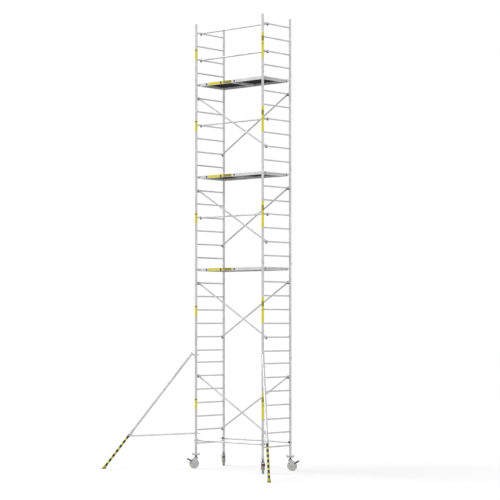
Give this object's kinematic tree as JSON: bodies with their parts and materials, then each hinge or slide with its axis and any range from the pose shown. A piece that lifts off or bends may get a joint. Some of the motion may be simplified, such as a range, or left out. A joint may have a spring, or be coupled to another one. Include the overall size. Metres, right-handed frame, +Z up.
{
  "type": "mobile scaffold tower",
  "caption": "Tall mobile scaffold tower of stacked ladder frames with hooked decks, diagonal braces, braked castors and telescopic outriggers.",
  "frame": {"origin": "centre of the tower's base between the four uprights, on the floor under the castors", "axes": "+X along the long side, from the left frame to the right frame; +Y along the short side, away from the guard rails and outriggers; +Z up"},
  "size_m": [4.64, 2.4037, 9.26],
  "materials": {
    "frame_aluminium": "mill finish, satin",
    "brace_aluminium": "mill finish, satin",
    "spigot_aluminium": "turned, satin",
    "deck_aluminium": "mill finish, satin",
    "deck_plywood": "phenolic coated, matt",
    "latch_plastic": "moulded, matt",
    "zinc_steel": "zinc plated",
    "dark_steel": "blackened",
    "cast_nut": "zinc plated casting",
    "fork_steel": "pressed steel, grey",
    "wheel_plastic": "moulded, off-white",
    "pedal_paint": "dark red, semi-gloss",
    "striped_leg": "yellow and black bands",
    "foot_rubber": "moulded, yellow"
  },
  "bodies": {
    "tower": {"left_frame_1": "frame_aluminium", "left_frame_2": "frame_aluminium", "left_frame_3": "frame_aluminium", "left_frame_4": "frame_aluminium", "left_frame_5": "frame_aluminium", "right_frame_1": "frame_aluminium", "right_frame_2": "frame_aluminium", "right_frame_3": "frame_aluminium", "right_frame_4": "frame_aluminium", "right_frame_5": "frame_aluminium", "joint_spigots": "spigot_aluminium", "joint_pins": "zinc_steel", "near_diagonals": "brace_aluminium", "far_diagonals": "brace_aluminium", "guard_rails": "brace_aluminium", "base_braces": "brace_aluminium", "deck_1_frame": "deck_aluminium", "deck_1_panel": "deck_plywood", "deck_2_frame": "deck_aluminium", "deck_2_panel": "deck_plywood", "deck_3_frame": "deck_aluminium", "deck_3_panel": "deck_plywood"},
    "near_diagonals_latches": {"near_diagonals_latches": "latch_plastic"},
    "far_diagonals_latches": {"far_diagonals_latches": "latch_plastic"},
    "guard_rails_latches": {"guard_rails_latches": "latch_plastic"},
    "base_braces_latches": {"base_braces_latches": "latch_plastic"},
    "deck_1_hatch": {"deck_1_hatch": "deck_plywood"},
    "deck_1_wind_locks": {"deck_1_wind_locks": "latch_plastic"},
    "deck_2_hatch": {"deck_2_hatch": "deck_plywood"},
    "deck_2_wind_locks": {"deck_2_wind_locks": "latch_plastic"},
    "deck_3_hatch": {"deck_3_hatch": "deck_plywood"},
    "deck_3_wind_locks": {"deck_3_wind_locks": "latch_plastic"},
    "leg_nut_left": {"leg_nut_left": "cast_nut"},
    "castor_leg_left": {"castor_leg_left": "dark_steel"},
    "castor_fork_left": {"castor_fork_left": "fork_steel"},
    "castor_wheel_left": {"castor_wheel_left": "wheel_plastic"},
    "brake_pedal_left": {"brake_pedal_left": "pedal_paint"},
    "leg_nut_back": {"leg_nut_back": "cast_nut"},
    "castor_leg_back": {"castor_leg_back": "dark_steel"},
    "castor_fork_back": {"castor_fork_back": "fork_steel"},
    "castor_wheel_back": {"castor_wheel_back": "wheel_plastic"},
    "brake_pedal_back": {"brake_pedal_back": "pedal_paint"},
    "leg_nut_front": {"leg_nut_front": "cast_nut"},
    "castor_leg_front": {"castor_leg_front": "dark_steel"},
    "castor_fork_front": {"castor_fork_front": "fork_steel"},
    "castor_wheel_front": {"castor_wheel_front": "wheel_plastic"},
    "brake_pedal_front": {"brake_pedal_front": "pedal_paint"},
    "leg_nut_right": {"leg_nut_right": "cast_nut"},
    "castor_leg_right": {"castor_leg_right": "dark_steel"},
    "castor_fork_right": {"castor_fork_right": "fork_steel"},
    "castor_wheel_right": {"castor_wheel_right": "wheel_plastic"},
    "brake_pedal_right": {"brake_pedal_right": "pedal_paint"},
    "outrigger_left": {"outrigger_tube_left": "brace_aluminium", "outrigger_stay_left": "brace_aluminium"},
    "outrigger_leg_left": {"outrigger_leg_left": "striped_leg", "outrigger_foot_left": "foot_rubber"},
    "outrigger_front": {"outrigger_tube_front": "brace_aluminium", "outrigger_stay_front": "brace_aluminium"},
    "outrigger_leg_front": {"outrigger_leg_front": "striped_leg", "outrigger_foot_front": "foot_rubber"}
  },
  "joints": [
    {"name": "near_diagonals_latch_slide", "type": "slide", "parent": "tower", "child": "near_diagonals_latches", "axis": [0, 1, 0], "range_m": [0, 0.024], "stiffness_N_per_m": 400, "springref_m": -0.004},
    {"name": "far_diagonals_latch_slide", "type": "slide", "parent": "tower", "child": "far_diagonals_latches", "axis": [0, -1, 0], "range_m": [0, 0.024], "stiffness_N_per_m": 400, "springref_m": -0.004},
    {"name": "guard_rails_latch_slide", "type": "slide", "parent": "tower", "child": "guard_rails_latches", "axis": [0, 1, 0], "range_m": [0, 0.024], "stiffness_N_per_m": 400, "springref_m": -0.004},
    {"name": "base_braces_latch_slide", "type": "slide", "parent": "tower", "child": "base_braces_latches", "axis": [0, 0, 1], "range_m": [0, 0.031], "stiffness_N_per_m": 400, "springref_m": -0.01},
    {"name": "deck_1_hatch_hinge", "type": "hinge", "parent": "tower", "child": "deck_1_hatch", "pos_m": [-0.45, 0.353, 4.15], "axis": [-1, 0, 0], "range_deg": [0, 88]},
    {"name": "deck_1_wind_lock_slide", "type": "slide", "parent": "tower", "child": "deck_1_wind_locks", "axis": [0, -1, 0], "range_m": [0, 0.038]},
    {"name": "deck_2_hatch_hinge", "type": "hinge", "parent": "tower", "child": "deck_2_hatch", "pos_m": [-0.45, 0.353, 6.08], "axis": [-1, 0, 0], "range_deg": [0, 88]},
    {"name": "deck_2_wind_lock_slide", "type": "slide", "parent": "tower", "child": "deck_2_wind_locks", "axis": [0, -1, 0], "range_m": [0, 0.038]},
    {"name": "deck_3_hatch_hinge", "type": "hinge", "parent": "tower", "child": "deck_3_hatch", "pos_m": [-0.45, 0.353, 8.01], "axis": [-1, 0, 0], "range_deg": [0, 88]},
    {"name": "deck_3_wind_lock_slide", "type": "slide", "parent": "tower", "child": "deck_3_wind_locks", "axis": [0, -1, 0], "range_m": [0, 0.038]},
    {"name": "leg_nut_left_spin", "type": "hinge", "parent": "tower", "child": "leg_nut_left", "pos_m": [-0.925, -0.425, 0.285], "axis": [0, 0, 1], "range_deg": [0, 9000]},
    {"name": "castor_leg_left_slide", "type": "slide", "parent": "tower", "child": "castor_leg_left", "axis": [0, 0, -1], "range_m": [0, 0.2]},
    {"name": "castor_left_swivel", "type": "hinge", "parent": "castor_leg_left", "child": "castor_fork_left", "pos_m": [-0.925, -0.425, 0.22], "axis": [0, 0, 1], "continuous": true},
    {"name": "castor_left_roll", "type": "hinge", "parent": "castor_fork_left", "child": "castor_wheel_left", "pos_m": [-0.95187, -0.45187, 0.1], "axis": [0.7071, -0.7071, 0], "continuous": true},
    {"name": "brake_left_pedal", "type": "hinge", "parent": "castor_fork_left", "child": "brake_pedal_left", "pos_m": [-0.98581, -0.48581, 0.15], "axis": [0.7071, -0.7071, 0], "range_deg": [0, 22]},
    {"name": "leg_nut_back_spin", "type": "hinge", "parent": "tower", "child": "leg_nut_back", "pos_m": [-0.925, 0.425, 0.285], "axis": [0, 0, 1], "range_deg": [0, 9000]},
    {"name": "castor_leg_back_slide", "type": "slide", "parent": "tower", "child": "castor_leg_back", "axis": [0, 0, -1], "range_m": [0, 0.2]},
    {"name": "castor_back_swivel", "type": "hinge", "parent": "castor_leg_back", "child": "castor_fork_back", "pos_m": [-0.925, 0.425, 0.22], "axis": [0, 0, 1], "continuous": true},
    {"name": "castor_back_roll", "type": "hinge", "parent": "castor_fork_back", "child": "castor_wheel_back", "pos_m": [-0.95187, 0.45187, 0.1], "axis": [-0.7071, -0.7071, 0], "continuous": true},
    {"name": "brake_back_pedal", "type": "hinge", "parent": "castor_fork_back", "child": "brake_pedal_back", "pos_m": [-0.98581, 0.48581, 0.15], "axis": [-0.7071, -0.7071, 0], "range_deg": [0, 22]},
    {"name": "leg_nut_front_spin", "type": "hinge", "parent": "tower", "child": "leg_nut_front", "pos_m": [0.925, -0.425, 0.285], "axis": [0, 0, 1], "range_deg": [0, 9000]},
    {"name": "castor_leg_front_slide", "type": "slide", "parent": "tower", "child": "castor_leg_front", "axis": [0, 0, -1], "range_m": [0, 0.2]},
    {"name": "castor_front_swivel", "type": "hinge", "parent": "castor_leg_front", "child": "castor_fork_front", "pos_m": [0.925, -0.425, 0.22], "axis": [0, 0, 1], "continuous": true},
    {"name": "castor_front_roll", "type": "hinge", "parent": "castor_fork_front", "child": "castor_wheel_front", "pos_m": [0.95187, -0.45187, 0.1], "axis": [0.7071, 0.7071, 0], "continuous": true},
    {"name": "brake_front_pedal", "type": "hinge", "parent": "castor_fork_front", "child": "brake_pedal_front", "pos_m": [0.98581, -0.48581, 0.15], "axis": [0.7071, 0.7071, 0], "range_deg": [0, 22]},
    {"name": "leg_nut_right_spin", "type": "hinge", "parent": "tower", "child": "leg_nut_right", "pos_m": [0.925, 0.425, 0.285], "axis": [0, 0, 1], "range_deg": [0, 9000]},
    {"name": "castor_leg_right_slide", "type": "slide", "parent": "tower", "child": "castor_leg_right", "axis": [0, 0, -1], "range_m": [0, 0.2]},
    {"name": "castor_right_swivel", "type": "hinge", "parent": "castor_leg_right", "child": "castor_fork_right", "pos_m": [0.925, 0.425, 0.22], "axis": [0, 0, 1], "continuous": true},
    {"name": "castor_right_roll", "type": "hinge", "parent": "castor_fork_right", "child": "castor_wheel_right", "pos_m": [0.95187, 0.45187, 0.1], "axis": [-0.7071, 0.7071, 0], "continuous": true},
    {"name": "brake_right_pedal", "type": "hinge", "parent": "castor_fork_right", "child": "brake_pedal_right", "pos_m": [0.98581, 0.48581, 0.15], "axis": [-0.7071, 0.7071, 0], "range_deg": [0, 22]},
    {"name": "outrigger_left_swing", "type": "hinge", "parent": "tower", "child": "outrigger_left", "pos_m": [-0.925, -0.425, 1.5], "axis": [0, 0, 1], "range_deg": [-45, 45]},
    {"name": "outrigger_left_reach", "type": "slide", "parent": "outrigger_left", "child": "outrigger_leg_left", "axis": [-0.4301, -0.4301, -0.7938], "range_m": [-0.6, 0.3]},
    {"name": "outrigger_front_swing", "type": "hinge", "parent": "tower", "child": "outrigger_front", "pos_m": [0.925, -0.425, 1.5], "axis": [0, 0, 1], "range_deg": [-45, 45]},
    {"name": "outrigger_front_reach", "type": "slide", "parent": "outrigger_front", "child": "outrigger_leg_front", "axis": [0.4301, -0.4301, -0.7938], "range_m": [-0.6, 0.3]}
  ],
  "couplings": [
    {"joint": "castor_leg_left_slide", "follows": "leg_nut_left_spin", "m_per_rad": 0.0012732},
    {"joint": "castor_leg_back_slide", "follows": "leg_nut_back_spin", "m_per_rad": 0.0012732},
    {"joint": "castor_leg_front_slide", "follows": "leg_nut_front_spin", "m_per_rad": 0.0012732},
    {"joint": "castor_leg_right_slide", "follows": "leg_nut_right_spin", "m_per_rad": 0.0012732}
  ]
}
